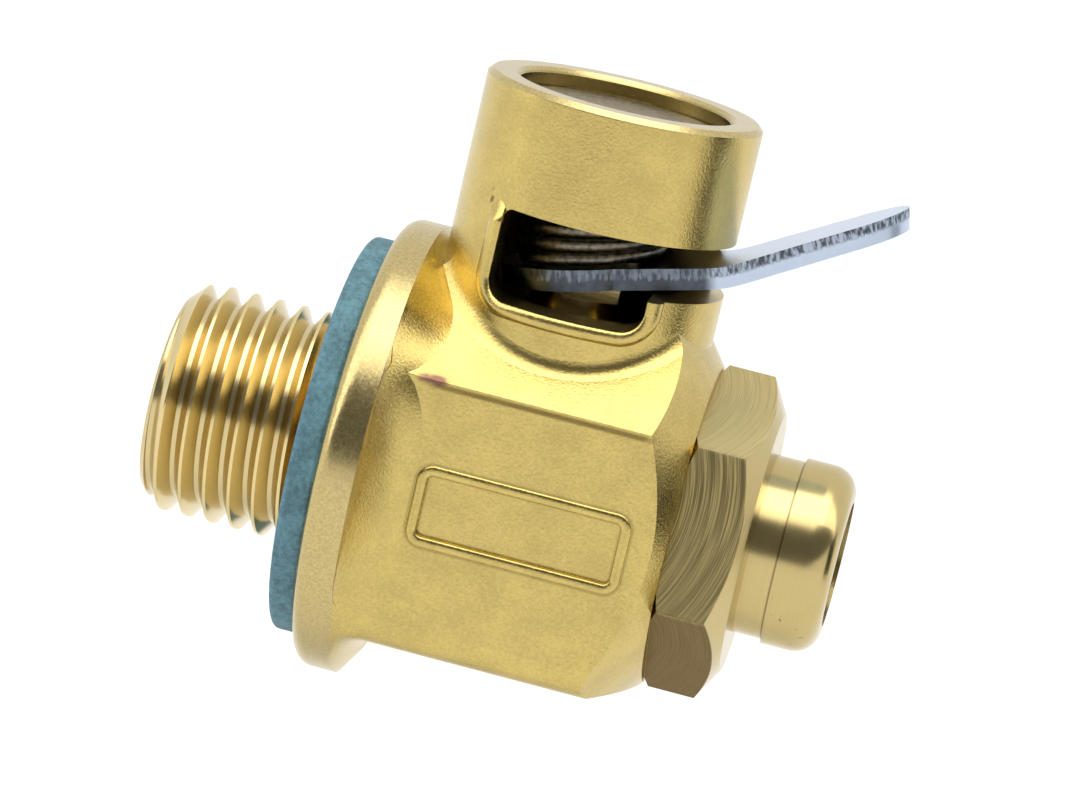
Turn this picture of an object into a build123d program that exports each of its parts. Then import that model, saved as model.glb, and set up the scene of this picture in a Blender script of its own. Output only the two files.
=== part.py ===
"""Quarter-turn ball valve that drains the oil from an engine's pan.

The X axis is the flow axis: the thread points to -X and the outlet to +X. The tower with the
lever stands along +Z. The origin is on the flow axis, at the gasket's sealing face. The valve is
shown open, with the lever along the flow.
"""

from build123d import *
from math import cos, hypot, pi, radians, sin, sqrt, tan
import os

# Driving dimensions, in millimetres and degrees
thread_diameter = 14.0
thread_length = 9.8
thread_tip_chamfer = 1.1
thread_pitch = 1.5
thread_depth = 0.92
thread_angle = 60.0
crest_drop = 0.02
shank_length = 0.4
flow_diameter = 7.5

gasket_diameter = 24.1
gasket_bore = 14.3
gasket_thickness = 1.75
gasket_edge = 0.3

flange_diameter = 27.4
flange_rim_width = 2.4
flange_front_round = 1.0
flange_back_angle = 58.0
flange_back_drop = 1.4
flange_root_round = 1.8
flange_root_angle = 35.0
flange_root_steps = 5

block_width = 21.0
block_bottom = -9.5
block_shoulder = 6.9
block_roof_angle = 39.0
block_top = 12.0
block_corner = 1.9
block_shoulder_round = 0.5
block_top_round = 1.0
block_end = 22.05
end_face_diameter = 19.2
end_cone_angle = 53.0

tower_x = 12.9
tower_diameter = 16.5
tower_top = 24.0
tower_edge = 0.3
tower_root_round = 1.35
chamber_diameter = 12.0
chamber_floor = 11.3
cap_bore_diameter = 12.6

window_half_width = 4.6
window_ledge = 13.75
window_top = 17.0
window_back = 4.2
notch_floor = 11.75
window_corner = 1.2
window_step_round = 0.5
lip_width = 0.9
lip_height = 0.25
lip_round = 0.2

panel_length = 12.6
panel_height = 4.7
panel_x = 13.6
panel_z = -0.4
panel_depth = 0.3
panel_corner = 0.9

ball_diameter = 12.0
ball_play = 0.04
cavity_diameter = 12.8
seat_play = 0.05
seat_back = 6.0
seat_front = 3.75

nut_thread_diameter = 15.0
nut_thread_play = 0.05
hex_width = 17.0
hex_length = 4.25
hex_turn = 10.0
hex_chamfer_angle = 30.0
hex_front_margin = 0.8
hex_back_setback = 0.7
neck_diameter = 10.8
neck_length = 1.9
outlet_diameter = 11.3
outlet_length = 3.25
outlet_round = 1.6

stem_diameter = 5.8
stem_play = 0.04
stem_flat_width = 3.2
stem_top = 20.4
stem_top_chamfer = 0.4
stem_collar_diameter = 7.2
stem_collar_bottom = 6.2
stem_collar_height = 1.0
thrust_washer_thickness = 0.5
tongue_width = 2.4
tongue_length = 5.0
tongue_play = 0.05
slot_floor = 4.4

o_ring_cord = 0.95
o_ring_play = 0.03
o_ring_groove_width = 1.15
stem_groove_lower = 8.75
stem_groove_upper = 10.55
nut_groove_setback = 0.8

sheet_thickness = 1.25
lever_tilt = 14.0
lever_rest_gap = 0.04
head_diameter = 9.6
arm_root_width = 8.8
arm_tip_width = 6.0
arm_bend_start = 7.6
arm_bend_angle = 16.5
arm_bend_radius = 8.0
arm_length = 12.0
arm_tip = 19.2
arm_reach = 9.0
lever_hole_length = 6.9
lever_hole_play = 0.12

spring_wire = 0.8
spring_mean_diameter = 8.0
spring_turns = 6.5
spring_gap = 0.04
spring_points_per_turn = 12

cap_thickness = 1.2
cap_depth = 1.05
cap_edge = 0.3
cap_play = 0.02

# Sizes that follow from them
thread_radius = thread_diameter / 2
thread_root_radius = thread_radius - thread_depth
flow_radius = flow_diameter / 2
tower_radius = tower_diameter / 2
chamber_radius = chamber_diameter / 2
ball_radius = ball_diameter / 2
stem_radius = stem_diameter / 2
half_width = block_width / 2
flange_front = gasket_thickness
flange_back = flange_front + flange_rim_width
flange_radius = flange_diameter / 2
block_start = flange_front + flange_rim_width / 2
end_radius = end_face_diameter / 2
roof_run = (block_top - block_shoulder) / tan(radians(block_roof_angle))
cap_top = tower_top - cap_depth
cap_bottom = cap_top - cap_thickness
collar_top = stem_collar_bottom + stem_collar_height
washer_top = collar_top + thrust_washer_thickness
guide_radius = stem_radius + stem_play
hex_end = block_end + hex_length
neck_end = hex_end + neck_length
outlet_end = neck_end + outlet_length
hex_front_radius = hex_width / 2 + hex_front_margin
hex_back_radius = hex_width / 2 - hex_back_setback
nut_inner_end = tower_x + seat_back
nut_bore_start = nut_inner_end - seat_play
nut_screw_radius = nut_thread_diameter / 2 - nut_thread_play
nut_groove_x = block_end - nut_groove_setback - o_ring_groove_width / 2
nut_groove_radius = nut_thread_diameter / 2 - o_ring_cord - 2 * o_ring_play
stem_groove_radius = guide_radius - o_ring_cord - 2 * o_ring_play
tower_plane = Plane((tower_x, 0, 0))
tower_side = Plane((tower_x, 0, 0), x_dir=(1, 0, 0), z_dir=(0, -1, 0))
tower_axis = Axis((tower_x, 0, 0), (0, 0, 1))

# The lever leans on the inner edge of the window's ledge and on the stem's shoulder
lean = radians(lever_tilt)
ledge_edge = sqrt(chamber_radius**2 - (arm_root_width / 2) ** 2)
lever_bottom = window_ledge + lever_rest_gap - ledge_edge * tan(lean)
lever_top = lever_bottom + sheet_thickness / cos(lean)
shoulder_reach = sqrt(stem_radius**2 - (stem_flat_width / 2) ** 2)
stem_shoulder = lever_bottom - shoulder_reach * tan(lean) - lever_rest_gap
spring_rest = spring_wire / 2 / cos(lean) + spring_gap
lever_origin = (tower_x, 0, lever_bottom)
lever_plane = Plane(lever_origin, x_dir=(cos(lean), 0, sin(lean)), z_dir=(-sin(lean), 0, cos(lean)))
lever_side = Plane(lever_origin, x_dir=(cos(lean), 0, sin(lean)), z_dir=(0, -1, 0))

os.makedirs("parts", exist_ok=True)

# Threaded spigot: a ridge wound round a core, cut to the tip's cone, with a plain shank by the gasket
with BuildPart() as pan_thread:
    with BuildLine():
        winding = Helix(
            pitch=thread_pitch,
            height=thread_length + thread_pitch,
            radius=thread_root_radius,
            center=(-thread_length - thread_pitch / 2, 0, 0),
            direction=(1, 0, 0),
        )
    outward = Vector(0, (winding @ 0).Y, (winding @ 0).Z)
    with BuildSketch(Plane(winding @ 0, x_dir=outward, z_dir=winding % 0)):
        with BuildLine():
            flank = tan(radians(thread_angle / 2))
            crest_half = thread_pitch / 16
            crest = thread_depth - crest_drop
            sunk = thread_depth / 10
            Polyline(
                (-sunk, -crest_half - (crest + sunk) * flank),
                (crest, -crest_half),
                (crest, crest_half),
                (-sunk, crest_half + (crest + sunk) * flank),
                close=True,
            )
        make_face()
    sweep(path=winding, is_frenet=True)
    with BuildSketch(Plane.YZ.offset(-thread_length)):
        Circle(thread_root_radius)
    extrude(amount=thread_length + flange_back)
    with BuildSketch(Plane.XZ):
        with BuildLine():
            Polyline(
                (-thread_length, 0),
                (-thread_length, thread_radius - thread_tip_chamfer),
                (thread_tip_chamfer - thread_length, thread_radius),
                (0, thread_radius),
                (thread_depth, thread_root_radius),
                (flange_back, thread_root_radius),
                (flange_back, 0),
                close=True,
            )
        make_face()
    revolve(axis=Axis.X, mode=Mode.INTERSECT)
    with BuildSketch(Plane.YZ):
        Circle(thread_radius)
    extrude(amount=-shank_length)

# Raised lip round the notch of the window, joined to the body below
with BuildPart() as notch_lip:
    with BuildSketch(tower_plane):
        Circle(tower_radius + lip_height)
        Circle(chamber_radius + lip_height, mode=Mode.SUBTRACT)
    extrude(amount=tower_top)
    with BuildSketch(tower_side) as lip_outline:
        with BuildLine():
            Polyline(
                (-window_half_width - lip_width, notch_floor - lip_width),
                (window_half_width + lip_width, notch_floor - lip_width),
                (window_half_width + lip_width, window_ledge),
                (0, window_ledge),
                (0, window_top - lip_width),
                (-window_half_width - lip_width, window_top - lip_width),
                close=True,
            )
        make_face()
        fillet(lip_outline.vertices().group_by(Axis.Y)[0], window_corner + lip_width)
    extrude(amount=tower_diameter, mode=Mode.INTERSECT)
    fillet(notch_lip.faces().filter_by(GeomType.CYLINDER).sort_by(Axis.Y)[0].edges(), lip_round)


def block_section(x, growth):
    """The block's outline at x along the flow axis, grown outwards by growth."""
    with BuildSketch(Plane.YZ.offset(x)) as section:
        with BuildLine():
            Polyline(
                (-half_width, block_bottom),
                (half_width, block_bottom),
                (half_width, block_shoulder),
                (half_width - roof_run, block_top),
                (roof_run - half_width, block_top),
                (-half_width, block_shoulder),
                close=True,
            )
        make_face()
        corners = section.vertices().group_by(Axis.Y)
        fillet(corners[0], block_corner)
        fillet(corners[1], block_shoulder_round)
        fillet(corners[2], block_top_round)
        offset(amount=growth, kind=Kind.ARC)
    return section.sketch


# Hollow curve that leads from the back of the flange to the sides of the block
with BuildPart() as flange_root:
    root_sections = []
    for step in range(flange_root_steps):
        swing = pi / 2 * step / flange_root_steps
        root_x = flange_back + flange_root_round * (1 - cos(swing))
        root_sections.append(block_section(root_x, flange_root_round * (1 - sin(swing))))
    root_end = flange_back + 1.1 * flange_root_round
    root_sections.append(block_section(root_end, -0.03 * flange_root_round))
    loft(root_sections, ruled=True)
    with BuildSketch(Plane.XZ):
        with BuildLine():
            Polyline(
                (flange_back, 0),
                (flange_back, flange_radius),
                (root_end, flange_radius - (root_end - flange_back) * tan(radians(flange_root_angle))),
                (root_end, 0),
                close=True,
            )
        make_face()
    revolve(axis=Axis.X, mode=Mode.INTERSECT)

# What is turned away at the outlet end: a cone round the end face, but not the foot of the tower
with BuildPart() as end_waste:
    with BuildSketch(Plane.XZ):
        with BuildLine():
            Polyline(
                (block_end, 0),
                (block_end + tower_radius, 0),
                (block_end + tower_radius, block_width),
                (block_end - (block_width - end_radius) / tan(radians(end_cone_angle)), block_width),
                (block_end, end_radius),
                close=True,
            )
        make_face()
    revolve(axis=Axis.X)
    with BuildSketch(tower_plane):
        Circle(tower_radius)
    extrude(amount=tower_top, mode=Mode.SUBTRACT)

# Valve body: block, tower, flange and spigot of one forging, then bored and slotted
with BuildPart() as valve_body:
    extrude(block_section(block_start, 0), amount=block_end + tower_radius - block_start)
    with BuildSketch(tower_plane):
        Circle(tower_radius)
    extrude(amount=tower_top)
    tower_root = valve_body.edges().filter_by(GeomType.LINE, reverse=True).filter_by(
        lambda edge: edge.center().Z > block_shoulder
        and edge.center().Z < tower_top - tower_edge
        and hypot(edge.center().X - tower_x, edge.center().Y) < tower_radius + tower_edge
    )
    fillet(tower_root, tower_root_round)
    add(end_waste.part, mode=Mode.SUBTRACT)
    # Flange with a cone behind its rim, and the threaded spigot
    cone_run = flange_back_drop / tan(radians(flange_back_angle))
    with BuildSketch(Plane.XZ):
        with BuildLine():
            Polyline(
                (flange_front, 0),
                (flange_front, flange_radius),
                (flange_back, flange_radius),
                (flange_back + cone_run, flange_radius - flange_back_drop),
                (flange_back + cone_run, 0),
                close=True,
            )
        make_face()
    revolve(axis=Axis.X)
    add(flange_root.part)
    add(pan_thread.part)
    # Flow bore, ball cavity and the tapped bore of the outlet nut
    with BuildSketch(Plane.YZ.offset(-thread_length)):
        Circle(flow_radius)
    extrude(amount=block_end + thread_length, mode=Mode.SUBTRACT)
    with BuildSketch(Plane.YZ.offset(tower_x - seat_back)):
        Circle(cavity_diameter / 2)
    extrude(amount=block_end - tower_x + seat_back, mode=Mode.SUBTRACT)
    with BuildSketch(Plane.YZ.offset(nut_bore_start)):
        Circle(nut_thread_diameter / 2)
    extrude(amount=block_end - nut_bore_start, mode=Mode.SUBTRACT)
    # Stem guide with its collar recess, spring chamber and cap seat
    with BuildSketch(tower_plane):
        Circle(stem_collar_diameter / 2 + stem_play)
    extrude(amount=washer_top, mode=Mode.SUBTRACT)
    with BuildSketch(tower_plane):
        Circle(guide_radius)
    extrude(amount=tower_top, mode=Mode.SUBTRACT)
    with BuildSketch(tower_plane.offset(chamber_floor)):
        Circle(chamber_radius)
    extrude(amount=tower_top - chamber_floor, mode=Mode.SUBTRACT)
    with BuildSketch(tower_plane.offset(cap_bottom)):
        Circle(cap_bore_diameter / 2)
    extrude(amount=tower_top - cap_bottom, mode=Mode.SUBTRACT)
    # Lip round the notch, then the L-shaped window and the slot behind it
    add(notch_lip.part)
    with BuildSketch(tower_side) as window:
        with BuildLine():
            Polyline(
                (-window_half_width, notch_floor),
                (window_half_width, notch_floor),
                (window_half_width, window_ledge),
                (tower_diameter, window_ledge),
                (tower_diameter, window_top),
                (-window_half_width, window_top),
                close=True,
            )
        make_face()
        fillet(window.vertices().group_by(Axis.Y)[0], window_corner)
        fillet(window.vertices().group_by(Axis.Y)[-1].sort_by(Axis.X)[0], window_step_round)
    extrude(amount=tower_diameter, mode=Mode.SUBTRACT)
    with BuildSketch(tower_plane.offset(window_ledge)):
        with Locations((tower_radius, window_back / 2)):
            Rectangle(tower_diameter, window_back)
    extrude(amount=window_top - window_ledge, mode=Mode.SUBTRACT)
    # Bare panel on the front flat
    with BuildSketch(Plane.XZ.offset(half_width)):
        with Locations((panel_x, panel_z)):
            RectangleRounded(panel_length, panel_height, panel_corner)
    extrude(amount=-panel_depth, mode=Mode.SUBTRACT)
    rims = valve_body.edges().filter_by(GeomType.CIRCLE)
    chamfer(rims.group_by(Axis.Z)[-1], tower_edge)
    flange_rims = rims.filter_by_position(Axis.X, flange_front, flange_front).sort_by(SortBy.RADIUS)
    fillet(flange_rims[-1], flange_front_round)
valve_body.part.label = "valve_body"
export_step(valve_body.part, "parts/valve_body.step")

# Gasket on the thread, against the flange
with BuildPart() as gasket:
    with BuildSketch(Plane.YZ):
        Circle(gasket_diameter / 2)
        Circle(gasket_bore / 2, mode=Mode.SUBTRACT)
    extrude(amount=gasket_thickness)
    fillet(gasket.edges().filter_by(GeomType.CIRCLE).group_by(SortBy.RADIUS)[-1], gasket_edge)
gasket.part.label = "gasket"
export_step(gasket.part, "parts/gasket.step")

# Ball with the flow bore and the slot for the stem's tongue
with BuildPart() as ball:
    with Locations((tower_x, 0, 0)):
        Sphere(ball_radius)
    with BuildSketch(Plane.YZ.offset(tower_x)):
        Circle(flow_radius)
    extrude(amount=ball_radius, both=True, mode=Mode.SUBTRACT)
    with BuildSketch(tower_plane.offset(slot_floor)):
        Rectangle(tongue_width + 2 * tongue_play, ball_diameter)
    extrude(amount=ball_radius - slot_floor, mode=Mode.SUBTRACT)
ball.part.label = "ball"
export_step(ball.part, "parts/ball.step")


def make_seat(side, name):
    """Sealing ring on one side of the ball: -1 is the inlet, +1 the outlet."""
    bowl_radius = ball_radius + ball_play
    outer_radius = cavity_diameter / 2 - seat_play
    bore_corner = (tower_x + side * sqrt(bowl_radius**2 - flow_radius**2), flow_radius)
    rim_corner = (tower_x + side * seat_front, sqrt(bowl_radius**2 - seat_front**2))
    middle_radius = (rim_corner[1] + flow_radius) / 2
    bowl_middle = (tower_x + side * sqrt(bowl_radius**2 - middle_radius**2), middle_radius)
    with BuildPart() as seat:
        with BuildSketch(Plane.XZ):
            with BuildLine():
                Polyline(
                    bore_corner,
                    (tower_x + side * seat_back, flow_radius),
                    (tower_x + side * seat_back, outer_radius),
                    (tower_x + side * seat_front, outer_radius),
                    rim_corner,
                )
                ThreePointArc(rim_corner, bowl_middle, bore_corner)
            make_face()
        revolve(axis=Axis.X)
    seat.part.label = name
    export_step(seat.part, f"parts/{name}.step")


make_seat(-1, "inlet_seat")
make_seat(1, "outlet_seat")

# Stem: tongue, collar, grooves for two seals, and a top with two flats for the lever
with BuildPart() as stem:
    with BuildSketch(tower_side):
        with BuildLine():
            Polyline(
                (0, stem_collar_bottom),
                (stem_collar_diameter / 2, stem_collar_bottom),
                (stem_collar_diameter / 2, collar_top),
                (stem_radius, collar_top),
                (stem_radius, stem_top - stem_top_chamfer),
                (stem_radius - stem_top_chamfer, stem_top),
                (0, stem_top),
                close=True,
            )
        make_face()
    revolve(axis=tower_axis)
    with BuildSketch(tower_plane.offset(slot_floor + tongue_play)):
        Rectangle(tongue_width, tongue_length)
    extrude(amount=stem_collar_bottom - slot_floor)
    with BuildSketch(tower_plane.offset(stem_shoulder)):
        Rectangle(stem_diameter, stem_diameter)
        Rectangle(stem_diameter, stem_flat_width, mode=Mode.SUBTRACT)
    extrude(amount=stem_top - stem_shoulder, mode=Mode.SUBTRACT)
    for groove_z in (stem_groove_lower, stem_groove_upper):
        with BuildSketch(tower_plane.offset(groove_z - o_ring_groove_width / 2)):
            Circle(stem_radius)
            Circle(stem_groove_radius, mode=Mode.SUBTRACT)
        extrude(amount=o_ring_groove_width, mode=Mode.SUBTRACT)
stem.part.label = "stem"
export_step(stem.part, "parts/stem.step")

with BuildPart() as stem_thrust_washer:
    with BuildSketch(tower_plane.offset(collar_top)):
        Circle(stem_collar_diameter / 2)
        Circle(guide_radius, mode=Mode.SUBTRACT)
    extrude(amount=thrust_washer_thickness)
stem_thrust_washer.part.label = "stem_thrust_washer"
export_step(stem_thrust_washer.part, "parts/stem_thrust_washer.step")

for name, groove_z in (("stem_o_ring_lower", stem_groove_lower), ("stem_o_ring_upper", stem_groove_upper)):
    with BuildPart() as o_ring:
        with Locations((tower_x, 0, groove_z)):
            Torus(stem_groove_radius + o_ring_play + o_ring_cord / 2, o_ring_cord / 2)
    o_ring.part.label = name
    export_step(o_ring.part, f"parts/{name}.step")

# Lever: stamped outline cut from a sheet that is bent once
with BuildPart() as lever:
    with BuildSketch(lever_side):
        with BuildLine():
            head = Line((-head_diameter, 0), (arm_bend_start, 0))
            bend = JernArc(head @ 1, head % 1, arm_bend_radius, arm_bend_angle)
            arm = PolarLine(bend @ 1, arm_length, angle=arm_bend_angle)
            offset(amount=sheet_thickness, side=Side.LEFT)
        make_face()
    extrude(amount=head_diameter, both=True)
    with BuildSketch(lever_plane.offset(-sheet_thickness)):
        with BuildLine():
            tip_centre = arm_tip - arm_tip_width / 2
            Polyline(
                (tip_centre, arm_tip_width / 2),
                (0, arm_root_width / 2),
                (0, -arm_root_width / 2),
                (tip_centre, -arm_tip_width / 2),
            )
            ThreePointArc((tip_centre, -arm_tip_width / 2), (arm_tip, 0), (tip_centre, arm_tip_width / 2))
        make_face()
        Circle(head_diameter / 2)
        Rectangle(lever_hole_length, stem_flat_width + 2 * lever_hole_play, mode=Mode.SUBTRACT)
    extrude(amount=arm_reach, mode=Mode.INTERSECT)
lever.part.label = "lever"
export_step(lever.part, "parts/lever.step")


def spring_point(turn):
    """Centre of the wire, which leans with the lever at the bottom and lies flat under the cap."""
    angle = 2 * pi * turn
    across = spring_mean_diameter / 2 * cos(angle)
    low = lever_top + across * tan(radians(lever_tilt)) + spring_rest
    high = cap_bottom - spring_wire / 2 - spring_gap
    height = low + (high - low) * turn / spring_turns
    return (tower_x + across, spring_mean_diameter / 2 * sin(angle), height)


with BuildPart() as spring:
    with BuildLine() as spring_path:
        count = round(spring_turns * spring_points_per_turn)
        Spline(*[spring_point(spring_turns * step / count) for step in range(count + 1)])
    with BuildSketch(Plane(spring_path.line @ 0, z_dir=spring_path.line % 0)):
        Circle(spring_wire / 2)
    sweep(path=spring_path.line, is_frenet=True)
spring.part.label = "spring"
export_step(spring.part, "parts/spring.step")

# Steel disc that closes the tower and holds the spring
with BuildPart() as spring_cap:
    with BuildSketch(tower_plane.offset(cap_bottom)):
        Circle(cap_bore_diameter / 2 - cap_play)
    extrude(amount=cap_thickness)
    chamfer(spring_cap.edges().group_by(Axis.Z)[-1], cap_edge)
spring_cap.part.label = "spring_cap"
export_step(spring_cap.part, "parts/spring_cap.step")

# Outlet nut: hexagon, screwed spigot and outlet, turned from one bar
with BuildPart() as outlet_nut:
    with BuildSketch(Plane.YZ.offset(block_end)):
        RegularPolygon(hex_width / 2, 6, major_radius=False, rotation=30 - hex_turn)
    extrude(amount=hex_length)
    crest_radius = hex_width / sqrt(3) + tower_edge
    chamfer_slope = tan(radians(hex_chamfer_angle))
    with BuildSketch(Plane.XZ):
        with BuildLine():
            Polyline(
                (block_end, 0),
                (block_end, hex_front_radius),
                (block_end + (crest_radius - hex_front_radius) * chamfer_slope, crest_radius),
                (hex_end - (crest_radius - hex_back_radius) * chamfer_slope, crest_radius),
                (hex_end, hex_back_radius),
                (hex_end, 0),
                close=True,
            )
        make_face()
    revolve(axis=Axis.X, mode=Mode.INTERSECT)
    with BuildSketch(Plane.XZ):
        with BuildLine():
            Polyline(
                (nut_inner_end, 0),
                (nut_inner_end, nut_screw_radius),
                (nut_groove_x - o_ring_groove_width / 2, nut_screw_radius),
                (nut_groove_x - o_ring_groove_width / 2, nut_groove_radius),
                (nut_groove_x + o_ring_groove_width / 2, nut_groove_radius),
                (nut_groove_x + o_ring_groove_width / 2, nut_screw_radius),
                (block_end, nut_screw_radius),
                (block_end, neck_diameter / 2),
                (neck_end, neck_diameter / 2),
                (neck_end, outlet_diameter / 2),
                (outlet_end, outlet_diameter / 2),
                (outlet_end, 0),
                close=True,
            )
        make_face()
    revolve(axis=Axis.X)
    with BuildSketch(Plane.YZ.offset(nut_inner_end)):
        Circle(flow_radius)
    extrude(amount=outlet_end - nut_inner_end, mode=Mode.SUBTRACT)
    end_rims = outlet_nut.edges().filter_by(GeomType.CIRCLE).group_by(Axis.X)[-1].sort_by(SortBy.RADIUS)
    fillet(end_rims[-1], outlet_round)
outlet_nut.part.label = "outlet_nut"
export_step(outlet_nut.part, "parts/outlet_nut.step")

with BuildPart() as nut_o_ring:
    with Locations(Plane.YZ.offset(nut_groove_x)):
        Torus(nut_groove_radius + o_ring_play + o_ring_cord / 2, o_ring_cord / 2)
nut_o_ring.part.label = "nut_o_ring"
export_step(nut_o_ring.part, "parts/nut_o_ring.step")
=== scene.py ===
"""Looks of the oil drain valve: brass forging, cut thread, zinc lever, dark spring and a white studio.

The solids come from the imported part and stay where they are. The lever and the spring are shown by
pieces made here, which take the place of the solids with the same form. Two beads and a dish are added.
"""

import math

import bpy
import numpy as np
from mathutils import Matrix, Vector


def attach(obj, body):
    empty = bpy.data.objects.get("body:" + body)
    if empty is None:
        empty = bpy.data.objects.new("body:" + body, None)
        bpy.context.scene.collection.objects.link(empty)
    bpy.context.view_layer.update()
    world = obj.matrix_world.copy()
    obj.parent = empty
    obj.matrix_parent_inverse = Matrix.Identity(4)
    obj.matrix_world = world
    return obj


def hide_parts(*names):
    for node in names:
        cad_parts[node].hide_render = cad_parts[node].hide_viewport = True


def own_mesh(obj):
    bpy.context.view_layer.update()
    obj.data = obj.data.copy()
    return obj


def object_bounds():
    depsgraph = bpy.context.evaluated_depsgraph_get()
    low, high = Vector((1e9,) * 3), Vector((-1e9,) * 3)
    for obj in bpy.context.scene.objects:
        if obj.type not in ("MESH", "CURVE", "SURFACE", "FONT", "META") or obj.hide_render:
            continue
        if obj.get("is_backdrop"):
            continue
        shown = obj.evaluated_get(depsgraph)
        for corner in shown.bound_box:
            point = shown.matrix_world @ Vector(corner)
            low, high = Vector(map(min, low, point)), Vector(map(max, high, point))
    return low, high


bl_info = {
    "name": "Oil drain valve",
    "version": (1, 0, 0),
    "blender": (4, 5, 0),
    "location": "View3D > Sidebar > Valve",
    "description": "Dresses a brass oil drain valve and sets up its studio",
    "category": "Object",
}

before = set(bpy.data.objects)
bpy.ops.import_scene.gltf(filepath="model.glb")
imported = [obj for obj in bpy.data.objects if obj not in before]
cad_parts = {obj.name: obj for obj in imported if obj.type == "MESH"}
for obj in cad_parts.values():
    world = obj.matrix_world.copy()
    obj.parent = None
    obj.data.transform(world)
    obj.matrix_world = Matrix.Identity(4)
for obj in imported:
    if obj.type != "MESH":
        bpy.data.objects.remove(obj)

MM = 0.001

# Places on the valve that the surfaces and finishes follow, in millimetres and degrees
THREAD_CREST = 7.0
THREAD_ROOT = 6.08
TOWER_X = 12.9
TOWER_RADIUS = 8.25
TOWER_TOP = 24.0
CHAMBER_RADIUS = 6.3
FLANGE_FRONT = 1.75
FLANGE_BACK = 4.15
FLANGE_RADIUS = 13.7
FRONT_FLAT = 10.5
BLOCK_BOTTOM = 9.5
BLOCK_TOP = 12.0
ROOF_ANGLE = 39.0
SHOULDER_Z = 6.9
HEX_START = 22.05
HEX_END = 26.3
HEX_HALF_WIDTH = 8.5
HEX_TURN = 10.0
PANEL_MIDDLE = (13.6, -0.4)
PANEL_HALF = (6.3, 2.35)
PANEL_CORNER = 0.9
CAP_BOTTOM = 21.75
NOTCH_HALF_WIDTH = 4.6
NOTCH_FLOOR = 11.75
NOTCH_LEDGE = 13.75
NOTCH_TOP = 17.0
NOTCH_CORNER = 1.2
LIP_WIDTH = 0.9
LIP_HEIGHT = 0.25
OUTLET_STEP = 28.2
LEVER_BOTTOM = 12.773
LEVER_TILT = 14.0
SHEET = 1.25
BEND_START = 7.6
BEND_ANGLE = 16.5
BEND_RADIUS = 8.0

# The lip's bead: the way in which it fades, how far it sinks, its root and its gap under the ledge
LIP_FADE = 1.4
LIP_SINK = 0.6
LIP_ROOT = 0.5
LIP_CLEAR = 0.02

# The panel's bead: its height, its root and how far it stands in, as a share of half its width
BORDER_HEIGHT = 0.14
BORDER_ROOT = 0.45
BORDER_INSET = 0.75

# The dish: the power of its curve, the power of its outline's corners, its tuck and its wall
DISH_CURVE = 1.65
DISH_CORNER = 12
DISH_TUCK = 0.997
DISH_WALL = 1.5

# The spring: its gap at both ends, the even share of its climb and its start
SPRING_GAP = 0.04
SPRING_EVEN = 0.78
SPRING_START = -150.0

# How finely the surfaces are divided, and the angle from which an edge is drawn sharp
BEAD_SIDES = 24
DISH_SIDES = 360
DISH_ROWS = 24
TURN_STEPS = 56
WIRE_SIDES = 20
CORNER_POINTS = 12
PATH_STEP = 0.08
SHARP_ANGLE = 50.0

# A face of the lever counts as a cut edge if it leans further than this from the sheet
EDGE_FACING = 0.7

# Marks on the metal, and painted shade and reflection: places in millimetres, and colours as a shader takes
# them
NICK_PLACE = (7.3, -5.9, 17.2)
STAIN_X = 6.9
SHOULDER_LINE = (6.9, 19.8)
CUTTER_BEHIND = 9.0
CUTTER_UP = 1.2
THREAD_GLINT = (0.62, 0.54, 0.38, 1.0)
SHOULDER_DARK_REFLECTION = (0.1, 0.06, 0.015, 1.0)
NICK_DIRT = (0.11, 0.055, 0.03, 1.0)
HEAT_STAIN = (0.13, 0.035, 0.06, 1.0)
DOWN_FLATS_SHADE_COLOUR = (0.16, 0.095, 0.02, 1.0)
PORE_DIRT_AND_STEP_SHADE_COLOUR = (0.12, 0.07, 0.03, 1.0)
BLACK = (0.0, 0.0, 0.0, 1.0)
WHITE = (1.0, 1.0, 1.0, 1.0)

# The dark card's corners, across and up from the middle of its foot, and where it stands, in metres
CARD = ((-0.045, 0.0), (0.045, 0.0), (0.045, 0.08), (-0.045, 0.08))
CARD_AWAY = 0.2
CARD_LIFT = 0.001
CARD_DARK = (0.03, 0.03, 0.03, 1.0)

# The room: angles of the bright strip and of the dark gap over the view, and how soft their edges are
STRIP_ANGLES = (37.0, 82.0)
GAP_ANGLES = (-10.0, 35.0)
ANGLE_SOFT = 3.0
FLOOR_HALF = 2.5

# The lamp overhead, in metres, watts and degrees
LAMP_SIZE = 0.5
LAMP_POWER = 0.7
LAMP_PLACE = (0.05, -0.1, 0.6)
LAMP_TILT = 10.0

# The camera's place as found from the photograph, in degrees and millimetres
VIEW_TURN = 6.1
VIEW_HEIGHT = 11.7
VIEW_ROLL = 13.2
VIEW_DISTANCE = 290.0
VIEW_TARGET = (12.0, 0.0, 4.9)
VIEW_LENS = 163.6
SENSOR_WIDTH = 36.0
NEAREST_SEEN = 0.01


class DishSizes(bpy.types.PropertyGroup):
    """Sizes of the dish between the flange and the block."""

    reach: bpy.props.FloatProperty(
        name="Reach", description="Along the block", default=3.25 * MM, unit="LENGTH", precision=5
    )
    edge: bpy.props.FloatProperty(
        name="Edge", description="In from the rim's radius", default=0.03 * MM, unit="LENGTH", precision=5
    )


class SpringSizes(bpy.types.PropertyGroup):
    """Sizes of the coil spring above the lever."""

    wire: bpy.props.FloatProperty(
        name="Wire", description="Diameter of the wire", default=0.8 * MM, unit="LENGTH", precision=5
    )
    mean_diameter: bpy.props.FloatProperty(
        name="Coil", description="To the middle of the wire", default=8.0 * MM, unit="LENGTH", precision=5
    )
    turns: bpy.props.FloatProperty(name="Turns", description="Number of turns", default=6.5)


class BeadSizes(bpy.types.PropertyGroup):
    """Sizes of the rounded beads on the forging."""

    lip: bpy.props.FloatProperty(
        name="Lip", description="Height of the notch's bead", default=0.3 * MM, unit="LENGTH", precision=5
    )
    border: bpy.props.FloatProperty(
        name="Border", description="Half the border's width", default=0.3 * MM, unit="LENGTH", precision=5
    )


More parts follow.
